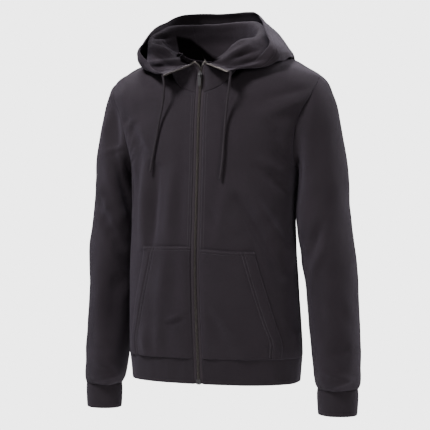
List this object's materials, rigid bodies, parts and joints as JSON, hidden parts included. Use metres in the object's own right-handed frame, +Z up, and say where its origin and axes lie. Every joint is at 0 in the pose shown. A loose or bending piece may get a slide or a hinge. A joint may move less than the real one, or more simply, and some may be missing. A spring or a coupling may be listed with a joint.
{
  "type": "zip up hoodie",
  "caption": "Charcoal zip up hoodie in brushed sweatshirt cloth, filled out as worn, with a double-stitched split pocket, rib hem and cuffs, metal zip, round drawcords and the hood down.",
  "frame": {"origin": "between the shoulders at the base of the neck, where a hanger or a wearer's neck holds it", "axes": "+Z up, +X towards the wearer's left, the front faces -Y"},
  "size_m": [0.6102, 0.2799, 0.8659],
  "materials": {
    "cloth": "brushed sweatshirt jersey",
    "rib": "fine rib knit",
    "tape": "woven tape",
    "cord": "braided cord",
    "zip_metal": "antique metal"
  },
  "bodies": {
    "garment": {"front_left": "cloth", "front_right": "cloth", "back": "cloth", "pocket_left": "cloth", "pocket_right": "cloth", "hem_band": "rib", "sleeve_left": "cloth", "sleeve_right": "cloth", "cuff_left": "rib", "cuff_right": "rib", "hood_right": "cloth", "hood_centre": "cloth", "hood_left": "cloth", "zip_tape_left": "tape", "zip_tape_right": "tape", "zip_chain": "zip_metal", "zip_slider": "zip_metal", "zip_bottom_box": "zip_metal", "drawcord_left": "cord", "drawcord_right": "cord"},
    "pull": {"zip_pull": "zip_metal"}
  },
  "joints": [
    {"name": "pull_tab_hinge", "type": "hinge", "parent": "garment", "child": "pull", "pos_m": [0, -0.0993, -0.0395], "axis": [1, 0, 0], "range_deg": [-150, 0]}
  ]
}
